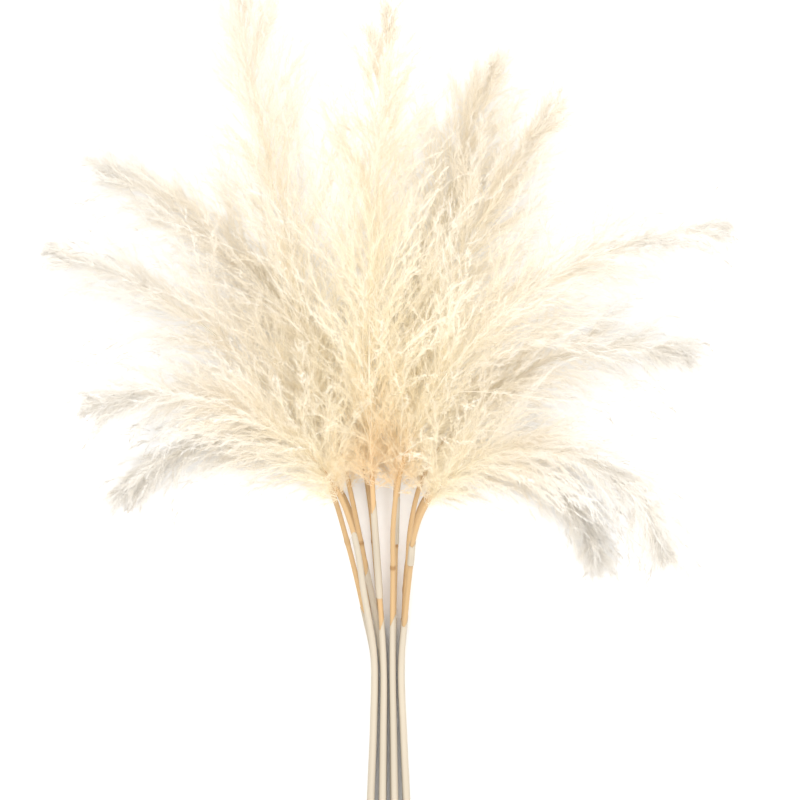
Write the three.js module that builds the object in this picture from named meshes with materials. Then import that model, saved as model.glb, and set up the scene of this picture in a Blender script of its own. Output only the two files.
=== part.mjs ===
// A bundle of twelve dried pampas grass stems, lying on a flat surface with the plumes fanned out.
//
// Millimetres. +Y runs from the cut ends to the plume tips, +Z is up and the surface is z = 0.
// The origin is on the surface, under the middle of the bundle.
//
// Each stem has a tan stalk that runs on into the plume as its core, one or two dry leaf sheaths
// that wrap the stalk as sleeves, and the plume itself, a soft spindle as thick as the dense fluff.
// The stems lie in three rows, one on another, and are closest together at the waist of the bundle.

import * as THREE from "three";

// Stalk and its core
const STALK_RADIUS = 2.6; // at the cut end
const NECK_RADIUS = 2.1; // where the plume begins
const CORE_TIP_RADIUS = 0.8; // where the core ends inside the plume
const CORE_SHARE = 0.8; // how far up the plume the core runs

// Sheaths
const SHEATH_WALL = 0.5;
const SHEATH_CLEARANCE = 0.4; // between the stalk and the inside of its sheath
const SHEATH_MOUTH_FLARE = 0.5; // the loose upper edge stands this much wider

// Plumes
const PLUME_LENGTH = 330; // a stem's own share multiplies it
const PLUME_HALF_WIDTH = 42; // where it has room, also multiplied by the stem's own share
const PLUME_FLATNESS = 0.82; // half thickness over half width
const PLUME_TIP_RADIUS = 3;
const CHANNEL_CLEARANCE = 0.5; // between the core and the channel in the plume that it runs in
const CHANNEL_WALL = 1.2; // least thickness of the plume round its channel
const PRESSED_HEIGHT = 19; // of the cores of the lowest plumes, whose undersides are pressed flat

// Bundle
const WAIST_TO_CUT = 190; // from the waist down to the cut ends
const WAIST_TO_PLUME = 188; // from the waist up to where the plumes begin
const STEM_GAP = 0.8; // between neighbouring sheathed stalks at the waist, and least between plumes
const ROW_RISE = 58; // between the cores of the plumes of two rows
const BEND_BEFORE_PLUME = 40; // a stalk starts to bend this far below its plume
const BEND_POWER = 0.85; // under 1, a plume bends more near its base

// Longest distance between two rings of a piece
const STALK_SPAN = 60;
const PLUME_SPAN = 34;

const STALK_SIDES = 8;
const PLUME_SIDES = 10;

// Each stem from left to right in its row, the lowest row first. Angles are in degrees from +Y and
// positive towards +X: tail is the heading from the cut end to the waist, lean the heading above the
// waist, nod how far the plume turns outwards by its tip, and swing how far it bows sideways on the
// way there. length, width and rise are shares of PLUME_LENGTH, PLUME_HALF_WIDTH and WAIST_TO_PLUME.
// cut is added to WAIST_TO_CUT. droop is how far the tip hangs below its row. lowerSheath is that
// sheath's length above the waist, and upperSheath says where another one starts and ends.
const STEMS_IN_ROW = 4;
const STEMS = [
  { tail: 2.2, lean: -9, nod: -134, length: 0.64, width: 0.85, rise: 0.98, cut: 4, droop: 8, lowerSheath: 60 },
  { tail: 0.5, lean: -5, nod: -62, length: 1.08, width: 0.9, rise: 1.06, cut: -8, droop: 8, lowerSheath: 63 },
  { tail: -0.8, lean: 1, nod: 22, length: 1.08, width: 0.9, rise: 1.05, cut: 9, droop: 8, lowerSheath: 66 },
  { tail: -2.4, lean: 4.5, nod: 170, length: 0.58, width: 0.9, rise: 0.94, cut: -3, droop: 8, lowerSheath: 60 },
  { tail: 2.4, lean: -13, nod: -62, length: 0.95, width: 1, rise: 1, cut: -6, droop: 30, lowerSheath: 73 },
  { tail: 0.9, lean: -11, nod: 8, swing: -8, length: 1.3, width: 1.05, rise: 1.04, cut: 7, droop: 24, lowerSheath: 115 },
  { tail: -0.4, lean: 1.5, nod: 37, length: 1.03, width: 0.95, rise: 1.03, cut: 2, droop: 26, lowerSheath: 66, upperSheath: [128, 170] },
  { tail: -2.2, lean: 4, nod: 100, length: 0.83, width: 1, rise: 0.98, cut: -10, droop: 34, lowerSheath: 62 },
  { tail: 2, lean: -9, nod: -102, length: 0.7, width: 1, rise: 0.97, cut: 10, droop: 36, lowerSheath: 144 },
  { tail: 0.6, lean: -3.5, nod: 10, length: 1.13, width: 1.05, rise: 1.02, cut: -4, droop: 24, lowerSheath: 65, upperSheath: [82, 168] },
  { tail: -1, lean: 0.5, nod: 88, length: 1.1, width: 1.05, rise: 1, cut: 6, droop: 38, lowerSheath: 67 },
  { tail: -2.6, lean: 5.5, nod: 160, length: 0.76, width: 1, rise: 0.93, cut: -7, droop: 44, lowerSheath: 69, upperSheath: [113, 134] },
];

// What one sheathed stalk takes up, and so how far apart stems lie at the waist.
const SHEATHED_RADIUS = STALK_RADIUS + SHEATH_CLEARANCE + SHEATH_WALL;
const STEM_PITCH = 2 * SHEATHED_RADIUS + STEM_GAP;

const radians = THREE.MathUtils.degToRad;
const mix = THREE.MathUtils.lerp;
const smooth = THREE.MathUtils.smoothstep; // (value, from, to)

// Every distance along a stem is measured from its cut end.
function measured(stem, index) {
  const waist = WAIST_TO_CUT + stem.cut;
  const plumeStart = waist + WAIST_TO_PLUME * stem.rise;
  const tip = plumeStart + PLUME_LENGTH * stem.length;
  const coreEnd = mix(plumeStart, tip, CORE_SHARE);
  return {
    ...stem,
    label: String(index + 1).padStart(2, "0"),
    row: Math.floor(index / STEMS_IN_ROW),
    place: (index % STEMS_IN_ROW) - (STEMS_IN_ROW - 1) / 2,
    waist,
    plumeStart,
    coreEnd,
    channelEnd: coreEnd + CHANNEL_CLEARANCE,
    tip,
    lowerSheathEnd: waist + stem.lowerSheath,
    upperSheathEnds: (stem.upperSheath ?? []).map((overWaist) => waist + overWaist),
  };
}

// Heading of the stem in the plane of the surface, in radians.
function headingAt(stem, s) {
  const straight = mix(radians(stem.tail), radians(stem.lean), smooth(s, 0.95 * stem.waist, 1.3 * stem.waist));
  const bendStart = stem.plumeStart - BEND_BEFORE_PLUME;
  const bent = Math.max(0, (s - bendStart) / (stem.tip - bendStart));
  const swing = radians(stem.swing ?? 0) * Math.sin(Math.PI * Math.min(1, bent));
  return straight + radians(stem.nod) * bent ** BEND_POWER + swing;
}

// Height of the stem over the surface.
function heightAt(stem, s) {
  const atCut = SHEATHED_RADIUS + stem.row * STEM_PITCH;
  const inPlume = PRESSED_HEIGHT + stem.row * ROW_RISE;
  const level = mix(stem.plumeStart, stem.tip, 0.4);
  return mix(atCut, inPlume, smooth(s, stem.waist, level)) - stem.droop * smooth(s, level, stem.tip);
}

// Where a stem's rings may lie: at the ends of its pieces, and evenly between those.
function ringPlaces(stem) {
  const fixed = [0, stem.lowerSheathEnd, ...stem.upperSheathEnds];
  fixed.push(stem.plumeStart, stem.coreEnd, stem.channelEnd, stem.tip);
  const places = [0];
  fixed.slice(1).forEach((to, i) => {
    const from = fixed[i];
    const longest = from < stem.plumeStart ? STALK_SPAN : PLUME_SPAN;
    const spans = Math.ceil((to - from) / longest);
    for (let k = 1; k < spans; k += 1) places.push(mix(from, to, k / spans));
    places.push(to);
  });
  return places;
}

// The stem's centre line as stations, each a point with its own side and up directions. The line is
// walked both ways from the waist, where the stems of a row lie side by side.
function stationsOf(stem) {
  const step = 1;
  const plan = new Map([[0, new THREE.Vector2(stem.place * STEM_PITCH, 0)]]);
  for (const way of [-1, 1]) {
    const here = plan.get(0).clone();
    for (let k = 0; k * step <= stem.tip; k += 1) {
      const heading = headingAt(stem, stem.waist + way * (k + 0.5) * step);
      here.x += way * step * Math.sin(heading);
      here.y += way * step * Math.cos(heading);
      plan.set(way * (k + 1), here.clone());
    }
  }
  return ringPlaces(stem).map((s) => {
    const walked = (s - stem.waist) / step;
    const whole = Math.floor(walked);
    const { x, y } = plan.get(whole).clone().lerp(plan.get(whole + 1), walked - whole);
    const heading = headingAt(stem, s);
    const slope = (heightAt(stem, s + step) - heightAt(stem, s - step)) / (2 * step);
    const along = new THREE.Vector3(Math.sin(heading), Math.cos(heading), slope).normalize();
    const side = new THREE.Vector3(Math.cos(heading), -Math.sin(heading), 0);
    return { s, centre: new THREE.Vector3(x, y, heightAt(stem, s)), side, up: side.clone().cross(along) };
  });
}

// The centre line stretched upwards, so that a flattened plume's cross-section is a circle.
function unflattened(stations) {
  return stations.map(({ centre }) => centre.clone().setZ(centre.z / PLUME_FLATNESS));
}

// Shortest distance from a point to any of the lines.
function distanceToLines(point, lines) {
  const nearest = new THREE.Vector3();
  const span = new THREE.Line3();
  let shortest = Infinity;
  for (const line of lines) {
    for (let i = 1; i < line.length; i += 1) {
      span.set(line[i - 1], line[i]).closestPointToPoint(point, true, nearest);
      shortest = Math.min(shortest, nearest.distanceTo(point));
    }
  }
  return shortest;
}

// Half widths that each station of a stem can have at most: no more than half the way from anywhere
// on the spans beside it to another stem, so that no two plumes can ever meet.
function roomAt(line, others) {
  const samples = 6;
  const bySpan = line.slice(1).map((to, i) => {
    let least = Infinity;
    for (let k = 0; k <= samples; k += 1) {
      const point = line[i].clone().lerp(to, k / samples);
      least = Math.min(least, distanceToLines(point, others));
    }
    return (least - STEM_GAP) / 2;
  });
  return line.map((_, i) => Math.min(bySpan[i - 1] ?? Infinity, bySpan[i] ?? Infinity));
}

// A closed geometry through rings in order. A ring is a station with its half width and half height.
// With looped, the last ring joins the first, and otherwise flat fans close both ends.
function loft(rings, sides, looped = false) {
  const points = [];
  const faces = [];
  for (const { station, wide, high } of rings) {
    for (let j = 0; j < sides; j += 1) {
      const turn = (2 * Math.PI * (j + 0.5)) / sides;
      const point = station.centre.clone();
      point.addScaledVector(station.side, wide * Math.cos(turn));
      point.addScaledVector(station.up, high * Math.sin(turn));
      points.push(point.x, point.y, Math.max(0, point.z));
    }
  }
  const spans = looped ? rings.length : rings.length - 1;
  for (let k = 0; k < spans; k += 1) {
    const here = k * sides;
    const next = ((k + 1) % rings.length) * sides;
    for (let j = 0; j < sides; j += 1) {
      const beside = (j + 1) % sides;
      faces.push(here + j, next + j, here + beside);
      faces.push(here + beside, next + j, next + beside);
    }
  }
  if (!looped) {
    const [first, last] = [rings[0], rings.at(-1)].map(({ station }) => {
      points.push(...station.centre.toArray());
      return points.length / 3 - 1;
    });
    const lastRing = (rings.length - 1) * sides;
    for (let j = 0; j < sides; j += 1) {
      const beside = (j + 1) % sides;
      faces.push(first, j, beside);
      faces.push(last, lastRing + beside, lastRing + j);
    }
  }
  const geometry = new THREE.BufferGeometry();
  geometry.setAttribute("position", new THREE.Float32BufferAttribute(points, 3));
  geometry.setIndex(faces);
  geometry.computeVertexNormals();
  return geometry;
}

function roundRing(station, radius) {
  return { station, wide: radius, high: radius };
}

// Radius of the stalk and, inside the plume, of its core.
function stalkRadius(stem, s) {
  if (s < stem.plumeStart) return mix(STALK_RADIUS, NECK_RADIUS, s / stem.plumeStart);
  const share = (s - stem.plumeStart) / (stem.coreEnd - stem.plumeStart);
  return mix(NECK_RADIUS, CORE_TIP_RADIUS, Math.min(1, share));
}

function stalkGeometry(stem, stations) {
  const own = stations.filter(({ s }) => s <= stem.coreEnd);
  return loft(own.map((station) => roundRing(station, stalkRadius(stem, station.s))), STALK_SIDES);
}

// A sleeve round the stalk, open at both ends. Only its upper edge stands off.
function sheathGeometry(stem, stations, from, to) {
  const own = stations.filter(({ s }) => s >= from && s <= to);
  const inner = own.map((station) => {
    const flare = station.s === to ? SHEATH_MOUTH_FLARE : 0;
    return roundRing(station, stalkRadius(stem, station.s) + SHEATH_CLEARANCE + flare);
  });
  const outer = inner.map(({ station, wide }) => roundRing(station, wide + SHEATH_WALL));
  return loft([...outer, ...inner.reverse()], STALK_SIDES, true);
}

// The spindle of fluff, with a blind channel up its middle for the core.
function plumeGeometry(stem, stations, room) {
  const channelRadius = (s) => stalkRadius(stem, s) + CHANNEL_CLEARANCE;
  const rings = [];
  stations.forEach((station, i) => {
    const { s } = station;
    if (s < stem.plumeStart) return;
    if (s <= stem.channelEnd && s !== stem.coreEnd) rings.unshift(roundRing(station, channelRadius(s)));
    if (s === stem.coreEnd) return;
    const share = (s - stem.plumeStart) / (stem.tip - stem.plumeStart);
    const fluff = mix(PLUME_TIP_RADIUS, PLUME_HALF_WIDTH * stem.width, Math.sin(Math.PI * share ** 0.7) ** 0.8);
    const least = channelRadius(s) + CHANNEL_WALL;
    const wide = Math.max(least, Math.min(fluff, room[i]));
    rings.push({ station, wide, high: Math.max(least, wide * PLUME_FLATNESS) });
  });
  return loft(rings, PLUME_SIDES);
}

const stalkMaterial = () => new THREE.MeshStandardMaterial({ color: 0xd9a760, roughness: 0.55, metalness: 0 });
const sheathMaterial = () => new THREE.MeshStandardMaterial({ color: 0xf0e2c2, roughness: 0.7, metalness: 0 });
const plumeMaterial = () => new THREE.MeshStandardMaterial({ color: 0xf3e6cb, roughness: 0.95, metalness: 0 });

function named(name, geometry, material) {
  const mesh = new THREE.Mesh(geometry, material);
  mesh.name = name;
  return mesh;
}

function bundle() {
  const group = new THREE.Group();
  const stems = STEMS.map(measured);
  const stationsByStem = stems.map(stationsOf);
  const lines = stationsByStem.map(unflattened);
  stems.forEach((stem, index) => {
    const stations = stationsByStem[index];
    const room = roomAt(lines[index], lines.filter((line) => line !== lines[index]));
    group.add(named(`stalk_${stem.label}`, stalkGeometry(stem, stations), stalkMaterial()));
    const lower = sheathGeometry(stem, stations, 0, stem.lowerSheathEnd);
    group.add(named(`lower_sheath_${stem.label}`, lower, sheathMaterial()));
    if (stem.upperSheath) {
      const upper = sheathGeometry(stem, stations, ...stem.upperSheathEnds);
      group.add(named(`upper_sheath_${stem.label}`, upper, sheathMaterial()));
    }
    group.add(named(`plume_${stem.label}`, plumeGeometry(stem, stations, room), plumeMaterial()));
  });
  const middle = new THREE.Box3().setFromObject(group).getCenter(new THREE.Vector3());
  group.position.set(-middle.x, -middle.y, 0);
  return group;
}

export default bundle();
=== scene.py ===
import math

import bpy
import numpy as np
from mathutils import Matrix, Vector


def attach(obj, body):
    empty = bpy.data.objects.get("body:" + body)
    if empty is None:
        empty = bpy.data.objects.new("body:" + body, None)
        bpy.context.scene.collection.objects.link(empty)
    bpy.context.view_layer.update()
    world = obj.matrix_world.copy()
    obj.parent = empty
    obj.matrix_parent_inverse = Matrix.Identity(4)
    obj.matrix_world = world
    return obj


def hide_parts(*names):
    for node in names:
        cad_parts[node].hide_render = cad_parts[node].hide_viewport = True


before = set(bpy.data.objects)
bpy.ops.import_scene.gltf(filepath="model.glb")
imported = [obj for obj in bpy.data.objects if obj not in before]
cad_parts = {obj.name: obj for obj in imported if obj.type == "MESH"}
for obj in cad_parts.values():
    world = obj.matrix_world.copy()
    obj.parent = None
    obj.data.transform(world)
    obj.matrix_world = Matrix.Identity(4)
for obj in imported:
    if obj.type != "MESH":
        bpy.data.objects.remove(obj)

bl_info = {
    "name": "Pampas grass bundle",
    "version": (1, 0, 0),
    "blender": (4, 5, 0),
    "location": "3D View > Sidebar > Pampas Grass",
    "description": "Dried pampas grass stems, leaf sheaths and silky plumes on the packed frame",
    "category": "Add Mesh",
}

DOWN = np.array((0.0, -1.0, 0.0))  # the way the plumes hung while they dried
TONE_MAP = "Tone"  # across: the tint of a strand. up: from its root to its tip
BAKE_MAP = "OFBake"
STOPS = {"Base": 0.0, "Root": 0.15, "Middle": 0.45, "Tip": 0.8, "Wisp": 1.0}  # tones of the colours
GOLDEN_ANGLE = math.pi * (3 - math.sqrt(5))

STALK_FOOT = 0.0026  # radius of a stalk at its cut end
STALK_NECK = 0.0021  # and under its plume
CORE_ROOT = 0.0012  # radius of the core in a plume, near its root
CORE_TIP = 0.0004  # and near its tip
CORE_REACH = 0.8  # how far up its plume a core goes
STALK_SIDES = 20

SHEATH_GAP = 0.0005  # from a stalk to the leaf round it
SHEATH_THICKNESS = 0.00022
SHEATH_OVERLAP = 0.7  # radians that the edges of the leaf overlap
SHEATH_SIDES = 34

HUGGING = 0.3  # share of the branches that hug the core
STRAY = 0.3  # share of the others that stray out of the plume
COLLAR = 0.05  # share of a plume's length that its short curls add below it
BRANCH_ANGLE = 34  # degrees between the core and a branch at the foot of a plume
BRANCH_CLOSING = 8  # how many fewer at its tip
STRAY_OPENING = 14  # and how many more for a branch that strays
SHORTEST_BRANCH = 0.2  # as a share of its plume
TWIG_ANGLES = (6, 26)
HAIR_ANGLES = (6, 40)
HUSK_START = 0.35  # where on a branch its husks start to darken
STRAY_HUSK = 0.24  # how much darker a stray branch ends, as a step in tone
BRANCH_WIDTH = 0.0005
TWIG_WIDTH = 0.00028
BRANCH_STEPS = 10
TWIG_STEPS = 5
LONG_HAIR_STEPS = 4

SIDE_ROOM = np.array((0.022, 0.03, 0.0))  # how far the fluff may reach past the CAD
TOP_ROOM = np.array((0.0, 0.0, 0.013))

FLOOR_REACH = 4
LIGHTS = (("key", (-0.35, 0.35, 2.3), 1.6, 40), ("fill", (0.9, -0.5, 1.8), 1.5, 15))
SKY_STRENGTH = 0.88
VIEW_SHARE = (0.524, 0.557, 0)  # where the camera looks, as a share of the CAD's box
VIEW_LIFT = 0.08
LENS, SENSOR = 85, 36


class PampasSettings(bpy.types.PropertyGroup):
    """Sizes and colours of the bundle"""

    branches: bpy.props.IntProperty(
        name="Branches", description="Side branches on the longest plume",
        default=170, min=8, max=400,
    )
    branchlets: bpy.props.IntProperty(
        name="Branchlets", description="Branchlets on each side branch",
        default=10, min=2, max=40,
    )
    plume_faces: bpy.props.IntProperty(
        name="Plume faces", description="Triangles in the longest plume",
        default=196000, min=5000, max=199000,
    )
    branch_reach: bpy.props.FloatProperty(
        name="Branch reach", description="Length of the longest branches as a share of their plume",
        default=0.46, min=0.1, max=1.0,
    )
    pale_distance: bpy.props.FloatProperty(
        name="Pale distance",
        description="How far to the side of the bundle's heart the fluff is at its palest",
        default=0.17, unit="LENGTH", min=0.01,
    )
    pale_rise: bpy.props.FloatProperty(
        name="Pale rise",
        description="How far above the bundle's heart the fluff is at its palest",
        default=0.6, unit="LENGTH", min=0.01,
    )
    droop: bpy.props.FloatProperty(
        name="Droop", description="How far the side branches nod", default=0.75, min=0.0, max=3.0
    )
    thickness: bpy.props.FloatProperty(
        name="Thickness", description="Height of a plume as a share of its width",
        default=0.52, min=0.1, max=1.0,
    )
    hair_length: bpy.props.FloatProperty(
        name="Hair length", description="Length of one silky hair",
        default=0.0105, unit="LENGTH", min=0.001,
    )
    hair_width: bpy.props.FloatProperty(
        name="Hair width", description="Width of one silky hair at its root",
        default=0.0002, precision=5, unit="LENGTH", min=0.00002,
    )
    base_colour: bpy.props.FloatVectorProperty(
        name="Base", description="Short curls round the stalk under a plume", subtype="COLOR",
        default=(0.97, 0.815, 0.58), min=0, max=1,
    )
    # Root, Middle and Tip run from the bundle's heart outwards: their warmer gold towards the heart
    # is painted warm shade of the dense fluff there
    root_colour: bpy.props.FloatVectorProperty(
        name="Root", description="Fluff deep in the plume", subtype="COLOR",
        default=(0.993, 0.935, 0.79), min=0, max=1,
    )
    middle_colour: bpy.props.FloatVectorProperty(
        name="Middle", description="Fluff half way out", subtype="COLOR",
        default=(0.957, 0.905, 0.81), min=0, max=1,
    )
    tip_colour: bpy.props.FloatVectorProperty(
        name="Tip", description="Fluff at the outside", subtype="COLOR",
        default=(0.961, 0.943, 0.912), min=0, max=1,
    )
    wisp_colour: bpy.props.FloatVectorProperty(
        name="Wisp", description="Dry husks at the ends of the branches", subtype="COLOR",
        default=(0.7, 0.655, 0.59), min=0, max=1,
    )
    stalk_colour: bpy.props.FloatVectorProperty(
        name="Stalk", description="Bare dry stalk", subtype="COLOR",
        default=(0.63, 0.42, 0.215), min=0, max=1,
    )
    sheath_colour: bpy.props.FloatVectorProperty(
        name="Sheath", description="Dry leaf sheath", subtype="COLOR",
        default=(0.55, 0.48, 0.375), min=0, max=1,
    )
    floor_colour: bpy.props.FloatVectorProperty(
        name="Floor", description="Surface that the bundle lies on", subtype="COLOR",
        default=(0.93, 0.93, 0.93), min=0, max=1,
    )
    view_height: bpy.props.FloatProperty(
        name="View height", description="How much the camera takes in",
        default=0.672, unit="LENGTH", min=0.1,
    )


def unit(v):
    """v with each vector along its last axis at length 1."""
    return v / np.maximum(np.linalg.norm(v, axis=-1, keepdims=True), 1e-12)


def points_of(name):
    """The different vertices of a CAD node."""
    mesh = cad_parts[name].data
    co = np.empty(len(mesh.vertices) * 3, np.float32)
    mesh.vertices.foreach_get("co", co)
    return np.unique(co.reshape(-1, 3).astype(float).round(5), axis=0)


def cad_box():
    """The two far corners of the CAD."""
    points = np.concatenate([points_of(name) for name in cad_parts])
    return points.min(0), points.max(0)


def ring_centres(points, reach=0.007):
    """Middles of the rings of a thin bent rod, in order from the end with the lowest Y."""
    centres = []
    left = points
    while len(left):
        near = np.linalg.norm(left - left[0], axis=1) < reach
        centres.append(left[near].mean(0))
        left = left[~near]
    left = np.array(centres)
    line = [left[:, 1].argmin()]
    while len(line) < len(left):
        away = np.linalg.norm(left - left[line[-1]], axis=1)
        away[line] = np.inf
        line.append(away.argmin())
    return left[line]


def smooth_line(points, spacing=0.002):
    """A curve through the points as a dense line with even steps."""
    along = np.r_[0, np.linalg.norm(np.diff(points, axis=0), axis=1).cumsum()]
    slope = np.gradient(points, along, axis=0)
    s = np.linspace(0, along[-1], int(along[-1] / spacing) + 1)
    k = np.clip(np.searchsorted(along, s, "right") - 1, 0, len(points) - 2)
    h = (along[k + 1] - along[k])[:, None]
    t = (s[:, None] - along[k][:, None]) / h
    return (
        (2 * t**3 - 3 * t**2 + 1) * points[k]
        + (t**3 - 2 * t**2 + t) * h * slope[k]
        + (3 * t**2 - 2 * t**3) * points[k + 1]
        + (t**3 - t**2) * h * slope[k + 1]
    )


def stem_line(label):
    """The centre line of a stem from its cut end to its tip, and where its plume starts on it."""
    plume = points_of(f"plume_{label}")
    centres = ring_centres(points_of(f"stalk_{label}"))
    neck = next(
        i for i, c in enumerate(centres) if np.linalg.norm(plume - c, axis=1).min() < 0.006
    )
    tip = plume[np.linalg.norm(plume - centres[neck], axis=1).argmax()]
    line = smooth_line(np.vstack((centres, tip)))
    return line, int(np.linalg.norm(line - centres[neck], axis=1).argmin())


def read_at(lines, row, share):
    """Points and headings on polylines (n, k, 3) at a share of their length."""
    last = lines.shape[1] - 1
    place = np.clip(share, 0, 1) * last
    k = np.minimum(place.astype(int), last - 1)
    a, b = lines[row, k], lines[row, k + 1]
    return a + (b - a) * (place - k)[:, None], unit(b - a)


def across(heading, rng):
    """A random direction square to each heading."""
    return unit(np.cross(heading, rng.normal(size=heading.shape)))


def grow(start, heading, length, steps, droop, wave, rng):
    """Strands as polylines. They leave along heading, droop more and more, and sway a little."""
    side = across(heading, rng)
    turn = np.cross(heading, side)
    phase = rng.uniform(0, 2 * np.pi, (2, len(start)))
    rate = rng.uniform(3, 9, (2, len(start)))
    points = [start]
    for k in range(steps):
        u = (k + 0.5) / steps
        sway = wave * (
            np.sin(phase[0] + rate[0] * u)[:, None] * side
            + np.sin(phase[1] + rate[1] * u)[:, None] * turn
        )
        way = unit(heading + sway + (droop * u**1.4)[:, None] * DOWN)
        points.append(points[-1] + way * (length / steps)[:, None])
    return np.stack(points, 1)


class Soup:
    """Triangles collected for one mesh, with the tint and tone of every vertex."""

    def __init__(self):
        self.points, self.faces, self.tones, self.count = [], [], [], 0

    def add(self, points, faces, tint, tone):
        """Adds n like shapes: points (n, m, 3), faces (f, 3), tint (n,) and tone (n, m)."""
        n, m = points.shape[:2]
        at = self.count + np.arange(n)[:, None, None] * m
        self.points.append(points.reshape(-1, 3))
        self.faces.append((faces[None] + at).reshape(-1, 3))
        tints = np.broadcast_to(tint[:, None], (n, m))
        self.tones.append(np.stack((tints, np.broadcast_to(tone, (n, m))), -1).reshape(-1, 2))
        self.count += n * m

    def ribbons(self, lines, width, tint, tone, rng):
        """Flat ribbons along polylines (n, k, 3) that taper to a point."""
        n, k = lines.shape[:2]
        side = across(lines[:, -1] - lines[:, 0], rng)[:, None]
        taper = (1 - np.linspace(0, 1, k) ** 1.5)[None, :, None]
        half = side * (width[:, None, None] / 2) * taper
        body = np.stack((lines - half, lines + half), 2)[:, :-1].reshape(n, -1, 3)
        points = np.concatenate((body, lines[:, -1:]), 1)
        faces = []
        for j in range(k - 2):
            a = 2 * j
            faces += [(a, a + 1, a + 3), (a, a + 3, a + 2)]
        a = 2 * (k - 2)
        faces.append((a, a + 1, a + 2))
        tones = np.concatenate((np.repeat(tone[:, :-1], 2, axis=1), tone[:, -1:]), 1)
        self.add(points, np.array(faces), tint, tones)

    def mesh(self, name):
        """The collected triangles as a mesh with its two UV maps."""
        points = np.concatenate(self.points)
        faces = np.concatenate(self.faces)
        tones = np.concatenate(self.tones).clip(0.002, 0.998)
        mesh = bpy.data.meshes.new(name)
        mesh.vertices.add(len(points))
        mesh.vertices.foreach_set("co", points.astype(np.float32).ravel())
        mesh.loops.add(faces.size)
        mesh.loops.foreach_set("vertex_index", faces.astype(np.int32).ravel())
        mesh.polygons.add(len(faces))
        mesh.polygons.foreach_set("loop_start", np.arange(0, faces.size, 3, dtype=np.int32))
        corner = tones[faces.ravel()].astype(np.float32).ravel()
        for layer in (TONE_MAP, BAKE_MAP):
            mesh.uv_layers.new(name=layer).uv.foreach_set("vector", corner)
        mesh.update(calc_edges=True)
        return mesh


def piece(name, mesh, material, slot, *nodes):
    """Shows a mesh in place of CAD nodes."""
    old = bpy.data.objects.get(name)
    if old:
        bpy.data.objects.remove(old)
    ob = bpy.data.objects.new(name, mesh)
    bpy.context.scene.collection.objects.link(ob)
    mesh.materials.append(material)
    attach(ob, "root")
    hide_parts(*nodes)
    return ob


def tone_group():
    """Shader group: a colour from base to wisp, with a tint of its own on every strand."""
    found = bpy.data.node_groups.get("Grass tone")
    if found:
        return found
    group = bpy.data.node_groups.new("Grass tone", "ShaderNodeTree")
    face = group.interface
    for socket in STOPS:
        face.new_socket(socket, in_out="INPUT", socket_type="NodeSocketColor")
    face.new_socket("Variation", in_out="INPUT", socket_type="NodeSocketFloat")
    face.new_socket("Color", in_out="OUTPUT", socket_type="NodeSocketColor")
    nodes, link = group.nodes, group.links.new
    given, out = nodes.new("NodeGroupInput"), nodes.new("NodeGroupOutput")
    uv = nodes.new("ShaderNodeUVMap")
    uv.uv_map = TONE_MAP
    split = nodes.new("ShaderNodeSeparateXYZ")
    link(uv.outputs["UV"], split.inputs[0])
    names = list(STOPS)
    colour = given.outputs[names[0]]
    for before, after in zip(names, names[1:]):
        share = nodes.new("ShaderNodeMapRange")
        share.inputs["From Min"].default_value = STOPS[before]
        share.inputs["From Max"].default_value = STOPS[after]
        link(split.outputs["Y"], share.inputs["Value"])
        mix = nodes.new("ShaderNodeMix")
        mix.data_type = "RGBA"
        link(share.outputs[0], mix.inputs["Factor"])
        link(colour, mix.inputs[6])
        link(given.outputs[after], mix.inputs[7])
        colour = mix.outputs[2]
    offset = nodes.new("ShaderNodeMath")
    offset.operation = "SUBTRACT"
    offset.inputs[1].default_value = 1.0
    link(split.outputs["X"], offset.inputs[0])
    value = nodes.new("ShaderNodeMath")
    value.operation = "MULTIPLY_ADD"
    value.inputs[2].default_value = 1.0
    link(offset.outputs[0], value.inputs[0])
    link(given.outputs["Variation"], value.inputs[1])
    tinted = nodes.new("ShaderNodeHueSaturation")
    link(value.outputs[0], tinted.inputs["Value"])
    link(colour, tinted.inputs["Color"])
    link(tinted.outputs[0], out.inputs["Color"])
    return group


def grass_material(name, colours, variation, roughness, thin=0.0):
    """A dry plant material with a colour for each stop. thin is how much light goes through."""
    material = bpy.data.materials.get(name) or bpy.data.materials.new(name)
    material.use_nodes = True
    nodes, link = material.node_tree.nodes, material.node_tree.links.new
    shader = nodes["Principled BSDF"]
    tone = nodes.new("ShaderNodeGroup")
    tone.node_tree = tone_group()
    for socket, colour in zip(STOPS, colours):
        tone.inputs[socket].default_value = (*colour, 1)
    tone.inputs["Variation"].default_value = variation
    link(tone.outputs["Color"], shader.inputs["Base Color"])
    shader.inputs["Roughness"].default_value = roughness
    shader.inputs["Specular IOR Level"].default_value = 0.25
    if thin:
        through = nodes.new("ShaderNodeBsdfTranslucent")
        both = nodes.new("ShaderNodeMixShader")
        both.inputs["Fac"].default_value = thin
        link(tone.outputs["Color"], through.inputs["Color"])
        link(shader.outputs["BSDF"], both.inputs[1])
        link(through.outputs["BSDF"], both.inputs[2])
        link(both.outputs["Shader"], nodes["Material Output"].inputs["Surface"])
    return material


def settle(z, soft=0.016):
    """Heights over the floor, with what would reach through it pressed together above it."""
    return np.where(z < soft, soft * np.exp(np.minimum(z, soft) / soft - 1), z)


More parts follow.
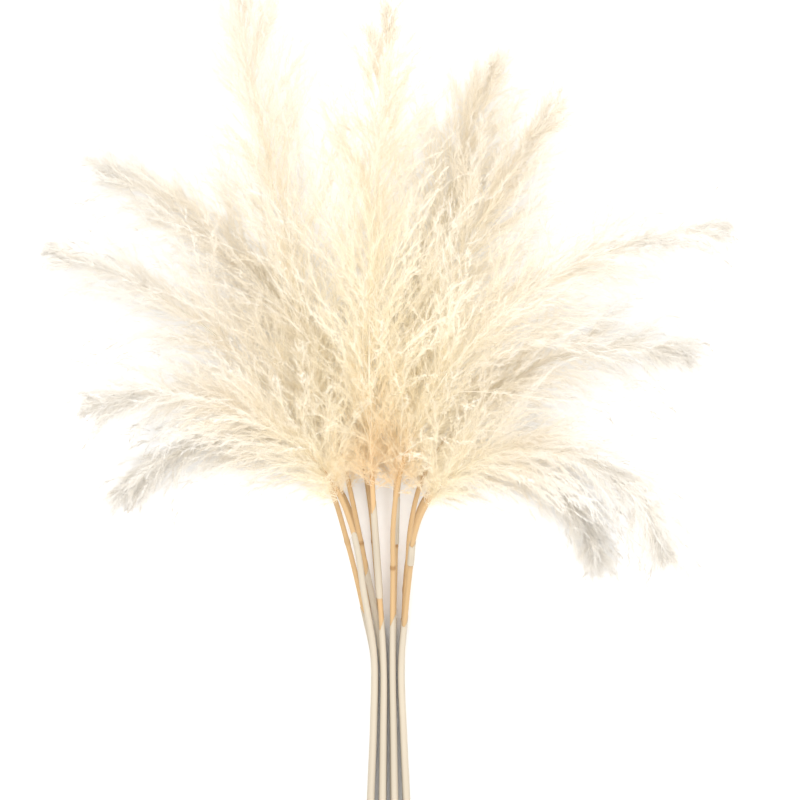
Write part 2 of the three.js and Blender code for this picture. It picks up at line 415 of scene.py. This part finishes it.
def plume_mesh(label, settings, longest, hub, low, high):
    """The fluff of one plume: branches, branchlets on them and silky hairs on those.

    All of it stays under high, above the floor and above low on X.
    """
    line, neck = stem_line(label)
    core = line[neck:]
    length = np.linalg.norm(np.diff(core, axis=0), axis=1).sum()
    rng = np.random.default_rng(1000 + int(label))
    soup = Soup()
    size = length / longest

    count = int(settings.branches * size**0.5)
    t = (1 + COLLAR) * ((np.arange(count) + rng.uniform(0, 1, count)) / count) ** 1.25 - COLLAR
    where = (neck + t * (len(core) - 1)) / (len(line) - 1)
    start, along = read_at(line[None], np.zeros(count, int), where)
    side = unit(np.cross(along, (0, 0, 1.0)))
    up = np.cross(side, along)
    turn = np.arange(count) * GOLDEN_ANGLE + rng.normal(0, 0.3, count)
    out = np.cos(turn)[:, None] * side + settings.thickness * np.sin(turn)[:, None] * up
    hugging = rng.uniform(0, 1, count) < HUGGING
    stray = ~hugging & (rng.uniform(0, 1, count) < STRAY)
    leave = BRANCH_ANGLE - BRANCH_CLOSING * t + rng.normal(0, 7, count) + STRAY_OPENING * stray
    leave = np.radians(leave)
    leave = leave * np.where(hugging, 0.45, 1)
    heading = unit(along * np.cos(leave)[:, None] + out * np.sin(leave)[:, None])
    spare = settings.branch_reach - SHORTEST_BRANCH
    reach = length * (SHORTEST_BRANCH + spare * (1 - t.clip(0)) ** 0.9)
    reach = reach * rng.uniform(0.7, 1.15, count) * np.where(hugging, 0.55, 1)
    reach = reach * (1 + 0.22 * stray)
    reach = np.minimum(reach, (1 - t) * length + rng.uniform(-0.01, 0.02, count) + 0.01)
    collar = t < 0
    wave = np.where(collar, 0.35, 0.12)[:, None]
    reach[collar] = rng.uniform(0.03, 0.07, collar.sum())
    sideways = np.linalg.norm(np.cross(along, DOWN), axis=1)
    droop = settings.droop * (0.3 + 0.7 * sideways) * (0.5 + 1.2 * reach / length)
    droop = droop * rng.uniform(0.5, 1.3, count)
    branch = grow(start, heading, reach, BRANCH_STEPS, droop, wave, rng)
    tint = rng.uniform(0, 1, count)

    def heart_shade_tone(points):
        """Tone of the fluff by where it lies: golden at the heart of the bundle, a painted warm
        shade of its dense fluff, to ivory outside.
        """
        away, rise = (points - hub)[..., 0], (points - hub)[..., 1]
        width = settings.pale_distance + 0.3 * rise.clip(0)
        pale = np.hypot(away / width, rise / settings.pale_rise) - 0.06
        return STOPS["Root"] + (STOPS["Tip"] - STOPS["Root"]) * pale.clip(0, 1)

    husk = np.where(stray, STRAY_HUSK, 0.08 * rng.uniform(0, 1, count))
    soup.ribbons(branch, np.full(count, BRANCH_WIDTH), tint, heart_shade_tone(branch), rng)

    each = settings.branchlets
    row = np.repeat(np.arange(count), each)
    u = np.tile((np.arange(each) + 0.5) / each, count) + rng.normal(0, 0.04, count * each)
    u = 0.03 + 0.95 * u.clip(0, 1)
    start, along = read_at(branch, row, u)
    leave = np.radians(rng.uniform(*TWIG_ANGLES, len(row)))[:, None]
    heading = unit(along * np.cos(leave) + across(along, rng) * np.sin(leave))
    small = reach[row] * (1 - u) ** 0.8 * rng.uniform(0.7, 1.3, len(row))
    small = small * np.where(stray[row], 0.16, 0.36) + 0.006
    twig = grow(start, heading, small, TWIG_STEPS, 0.35 * droop[row], 0.2, rng)
    twig_tint = (tint[row] + rng.normal(0, 0.15, len(row))).clip(0, 1)
    far_out = ((u - HUSK_START) / (1 - HUSK_START)).clip(0, 1)
    shift = (0.17 * u - 0.12 + husk[row] * far_out)[:, None]
    shift = np.where(collar[row][:, None], -0.13, shift)
    soup.ribbons(twig, np.full(len(row), TWIG_WIDTH), twig_tint, shift + heart_shade_tone(twig), rng)

    chance = small * (0.7 + 0.7 * t[row].clip(0))

    def hairs(number, steps, longer, wider):
        """Silky hairs on the branchlets."""
        pick = rng.choice(len(row), number, p=chance / chance.sum())
        v = rng.uniform(0.0, 1.0, number)
        start, along = read_at(twig, pick, v)
        leave = np.radians(rng.uniform(*HAIR_ANGLES, number))[:, None]
        heading = unit(along * np.cos(leave) + across(along, rng) * np.sin(leave))
        far = longer * settings.hair_length * rng.uniform(0.5, 1.25, number) * (1 - 0.35 * v)
        far = far * (0.4 + 0.6 * (1 - u[pick])) * np.where(stray[row[pick]], 0.7, 1)
        hair = grow(start, heading, far, steps, np.full(number, 0.25), 0.4, rng)
        tone = shift[pick] + heart_shade_tone(hair) + np.linspace(-0.04, 0.06, steps + 1)[None]
        hair_tint = (twig_tint[pick] + rng.normal(0, 0.2, number)).clip(0, 1)
        width = wider * settings.hair_width * rng.uniform(0.7, 1.3, number)
        soup.ribbons(hair, width, hair_tint, tone, rng)

    left = int(settings.plume_faces * size**0.5) - sum(len(f) for f in soup.faces)
    long_faces = 2 * LONG_HAIR_STEPS - 1
    strands = left // 3 // long_faces
    hairs(strands, LONG_HAIR_STEPS, 2.0, 1.9)
    hairs(left - long_faces * strands, 1, 1.0, 1.0)

    for points in soup.points:
        points[:, 2] = settle(points[:, 2])
        for axis, limit in enumerate(high):
            points[:, axis] = limit - settle(limit - points[:, axis])
        points[:, 0] = settle(points[:, 0] - low[0]) + low[0]
    return soup.mesh(f"fluff_{label}")


def ring_frame(line):
    """Two directions square to a line at each of its points."""
    along = unit(np.gradient(line, axis=0))
    side = unit(np.cross(along, (0, 0, 1.0)))
    return side, np.cross(side, along)


def around(line, turn, radius):
    """Vertices at the angles turn round a line, radius (k, m) away from it."""
    side, up = ring_frame(line)
    turn = np.broadcast_to(turn, radius.shape)[..., None]
    spread = np.cos(turn) * side[:, None] + np.sin(turn) * up[:, None]
    return line[:, None] + radius[..., None] * spread


def sheet_mesh(name, points, tone, tint, ends):
    """A smooth sleeve through rings of vertices (k, m, 3), with its end faces given."""
    k, m = points.shape[:2]
    faces = list(ends)
    for i in range(k - 1):
        for j in range(m):
            a, b = i * m + j, i * m + (j + 1) % m
            faces.append((a, a + m, b + m, b))
    mesh = bpy.data.meshes.new(name)
    mesh.from_pydata(list(map(tuple, points.reshape(-1, 3))), [], faces)
    uv = np.stack([np.broadcast_to(value, (k, m)) for value in (tint, tone)], -1).reshape(-1, 2)
    corner = np.empty(len(mesh.loops), np.int32)
    mesh.loops.foreach_get("vertex_index", corner)
    values = uv[corner].clip(0.002, 0.998).astype(np.float32).ravel()
    for layer in (TONE_MAP, BAKE_MAP):
        mesh.uv_layers.new(name=layer).uv.foreach_set("vector", values)
    mesh.shade_smooth()
    mesh.set_sharp_from_angle(angle=math.radians(50))
    return mesh


def sheath_mesh(name, part, inside, rng):
    """A leaf rolled round a stalk of radius inside, with an overlapping edge and a ragged mouth."""
    turn = np.linspace(0, 2 * np.pi + SHEATH_OVERLAP, SHEATH_SIDES)
    first = rng.uniform(0, 2 * np.pi)
    k = len(part)
    length = np.linalg.norm(np.diff(part, axis=0), axis=1).sum()
    slant = min(0.012, 0.2 * length)
    short = slant * (0.5 - 0.5 * np.cos(turn - rng.uniform(1, 5)))
    short = short + 0.0012 * rng.uniform(0, 1, len(turn))
    t = np.linspace(0, 1, k)[:, None] * (1 - short / length)
    place = t * (k - 1)
    i = np.minimum(place.astype(int), k - 2)
    share = place - i
    side, up = ring_frame(part)
    vein = 0.00005 * np.cos(turn * 11) + 0.00003 * np.cos(turn * 23)
    gap = SHEATH_GAP - 0.0003 * t**3
    radius = inside[:, None] + gap + 0.0003 * turn / (2 * np.pi) + vein
    sheets = []
    for inner in (0.0, SHEATH_THICKNESS):
        cosine, sine = np.cos(turn + first)[..., None], np.sin(turn + first)[..., None]
        spread = (radius - inner)[..., None] * (cosine * side[i] + sine * up[i])
        centre = part[i] * (1 - share)[..., None] + part[i + 1] * share[..., None]
        sheets.append(centre + spread)
    points = np.concatenate((sheets[0], sheets[1][:, ::-1]), 1)
    tone = 0.5 + 0.2 * np.sin(t * 5 + first) - 0.2 * t**20 - 0.1 * np.cos(turn * 11)
    tone = np.concatenate((tone, tone[:, ::-1]), 1)
    n, end = len(turn), (k - 1) * 2 * len(turn)
    rims = [(j, j + 1, 2 * n - 2 - j, 2 * n - 1 - j) for j in range(n - 1)]
    rims += [tuple(end + j for j in reversed(rim)) for rim in rims]
    return sheet_mesh(name, points, tone, rng.uniform(0.4, 1), rims)


def labels():
    """The labels of the stems in the frame."""
    found = sorted(name[-2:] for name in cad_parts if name.startswith("plume_"))
    if not found or any(f"stalk_{label}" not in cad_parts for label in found):
        raise RuntimeError("The frame holds no plume with a stalk of its own")
    return found


class PAMPAS_OT_stalks(bpy.types.Operator):
    """Make the tan stalks"""

    bl_idname = "pampas.stalks"
    bl_label = "Stalks"

    def execute(self, context):
        s = context.scene.pampas
        colour, fluff = np.array(s.stalk_colour), np.array(s.root_colour) * 0.8
        colours = (colour * (0.6, 0.5, 0.4), colour * 0.9, colour, fluff, fluff)
        material = grass_material("Stalk", colours, 0.2, 0.45)
        turn = 2 * np.pi * np.arange(STALK_SIDES) / STALK_SIDES
        for label in labels():
            line, neck = stem_line(label)
            line = line[: neck + int((len(line) - neck) * CORE_REACH)]
            t = np.linspace(0, 1, len(line))
            at_neck = t[neck]
            rng = np.random.default_rng(50 + int(label))
            sizes = (STALK_FOOT, STALK_NECK, CORE_ROOT, CORE_TIP)
            radius = np.interp(t, (0, at_neck, at_neck + 0.05, 1), sizes)
            joints = rng.uniform(0.3, 0.45) * at_neck + np.array((0.0, 0.42)) * at_neck
            knot = np.exp(-(((t[:, None] - joints) * len(t) / 1.6) ** 2)).sum(1)
            radius = radius * (1 + 0.16 * knot)
            ribs = 1 + 0.025 * np.cos(5 * turn + rng.uniform(0, 6)) + 0.015 * np.cos(9 * turn)
            in_plume = ((t - at_neck) / (1 - at_neck)).clip(0, 1)
            tone = 0.35 + 0.1 * np.sin(t * 14 + rng.uniform(0, 6))
            tone = tone + 0.5 * (in_plume * 4).clip(0, 1) - 0.3 * knot
            points = around(line, turn, radius[:, None] * ribs)
            far = (len(line) - 1) * len(turn)
            ends = (tuple(range(len(turn))), tuple(far + j for j in reversed(range(len(turn)))))
            mesh = sheet_mesh(f"cane_{label}", points, tone[:, None], rng.uniform(0.3, 1), ends)
            piece(f"cane_{label}", mesh, material, "stalk", f"stalk_{label}")
        return {"FINISHED"}


class PAMPAS_OT_sheaths(bpy.types.Operator):
    """Make the cream leaf sheaths"""

    bl_idname = "pampas.sheaths"
    bl_label = "Leaf sheaths"

    def execute(self, context):
        s = context.scene.pampas
        colour = np.array(s.sheath_colour)
        shades = np.array(((0.8, 0.66, 0.5), (0.92,) * 3, (1,) * 3, (1.04,) * 3, (1.04,) * 3))
        material = grass_material("Sheath", colour * shades, 0.12, 0.6)
        sheaths = sorted(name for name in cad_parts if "sheath" in name)
        if not sheaths:
            raise RuntimeError("The frame holds no leaf sheath")
        for name in sheaths:
            line, neck = stem_line(name[-2:])
            points = points_of(name)
            nearest = [np.linalg.norm(line - p, axis=1).argmin() for p in points]
            first, last = min(nearest), max(nearest)
            at = np.linspace(first, last, 4 + (last - first) // 3).round().astype(int)
            part = line[at]
            inside = np.interp(at, (0, neck), (STALK_FOOT, STALK_NECK))
            rng = np.random.default_rng(80 + int(name[-2:]))
            mesh = sheath_mesh(f"leaf_{name}", part, inside, rng)
            piece(f"leaf_{name}", mesh, material, "sheath", name)
        return {"FINISHED"}


class PAMPAS_OT_plumes(bpy.types.Operator):
    """Make the silky plumes"""

    bl_idname = "pampas.plumes"
    bl_label = "Plumes"

    def execute(self, context):
        s = context.scene.pampas
        colours = (s.base_colour, s.root_colour, s.middle_colour, s.tip_colour, s.wisp_colour)
        material = grass_material("Plume", colours, 0.05, 0.6, 0.5)
        lengths = {}
        for label in labels():
            line, neck = stem_line(label)
            lengths[label] = np.linalg.norm(np.diff(line[neck:], axis=0), axis=1).sum()
        hub = np.mean([stem_line(label)[0][stem_line(label)[1]] for label in labels()], axis=0)
        low, high = cad_box()
        low, high = low - SIDE_ROOM, high + SIDE_ROOM + TOP_ROOM
        for label in labels():
            mesh = plume_mesh(label, s, max(lengths.values()), hub, low, high)
            piece(f"fluff_{label}", mesh, material, "plume", f"plume_{label}")
        return {"FINISHED"}


class PAMPAS_OT_stage(bpy.types.Operator):
    """Make the floor, the lights and the camera"""

    bl_idname = "pampas.stage"
    bl_label = "Stage"

    def execute(self, context):
        s = context.scene.pampas
        scene = context.scene
        low, high = cad_box()
        for name in ("floor", "key", "fill", "camera"):
            old = bpy.data.objects.get(name)
            if old:
                bpy.data.objects.remove(old)
        mesh = bpy.data.meshes.new("floor")
        far = FLOOR_REACH
        corners = ((-far, -far, 0), (far, -far, 0), (far, far, 0), (-far, far, 0))
        mesh.from_pydata(corners, [], [(0, 1, 2, 3)])
        floor = bpy.data.objects.new("floor", mesh)
        scene.collection.objects.link(floor)
        paint = bpy.data.materials.new("Floor")
        paint.use_nodes = True
        shader = paint.node_tree.nodes["Principled BSDF"]
        shader.inputs["Base Color"].default_value = (*s.floor_colour, 1)
        shader.inputs["Roughness"].default_value = 0.8
        mesh.materials.append(paint)

        world = bpy.data.worlds.new("World")
        world.use_nodes = True
        sky = world.node_tree.nodes["Background"]
        sky.inputs["Color"].default_value = (1, 1, 1, 1)
        sky.inputs["Strength"].default_value = SKY_STRENGTH
        scene.world = world
        middle = Vector((*(low + VIEW_SHARE * (high - low))[:2], VIEW_LIFT))
        for name, place, size, watts in LIGHTS:
            data = bpy.data.lights.new(name, "AREA")
            data.size, data.energy = size, watts
            light = bpy.data.objects.new(name, data)
            light.location = middle + Vector(place)
            light.rotation_euler = (middle - light.location).to_track_quat("-Z", "Y").to_euler()
            scene.collection.objects.link(light)

        data = bpy.data.cameras.new("camera")
        data.lens, data.sensor_width = LENS, SENSOR
        camera = bpy.data.objects.new("camera", data)
        camera.location = middle + Vector((0.0, 0, s.view_height * data.lens / data.sensor_width))
        scene.collection.objects.link(camera)
        scene.camera = camera
        scene.view_settings.view_transform = "Standard"
        return {"FINISHED"}


class PAMPAS_PT_panel(bpy.types.Panel):
    """Sizes, colours and the steps that make the bundle"""

    bl_idname = "PAMPAS_PT_panel"
    bl_label = "Pampas Grass"
    bl_space_type = "VIEW_3D"
    bl_region_type = "UI"
    bl_category = "Pampas Grass"

    def draw(self, context):
        settings = context.scene.pampas
        for name in PampasSettings.__annotations__:
            self.layout.prop(settings, name)
        for operator in OPERATORS:
            self.layout.operator(operator.bl_idname)


OPERATORS = (PAMPAS_OT_stalks, PAMPAS_OT_sheaths, PAMPAS_OT_plumes, PAMPAS_OT_stage)
CLASSES = (PampasSettings, *OPERATORS, PAMPAS_PT_panel)


def register():
    for cls in CLASSES:
        bpy.utils.register_class(cls)
    bpy.types.Scene.pampas = bpy.props.PointerProperty(type=PampasSettings)


def unregister():
    del bpy.types.Scene.pampas
    for cls in reversed(CLASSES):
        bpy.utils.unregister_class(cls)


def main():
    register()
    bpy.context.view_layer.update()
    for operator in OPERATORS:
        group, name = operator.bl_idname.split(".")
        getattr(getattr(bpy.ops, group), name)()


if __name__ == "__main__":
    main()
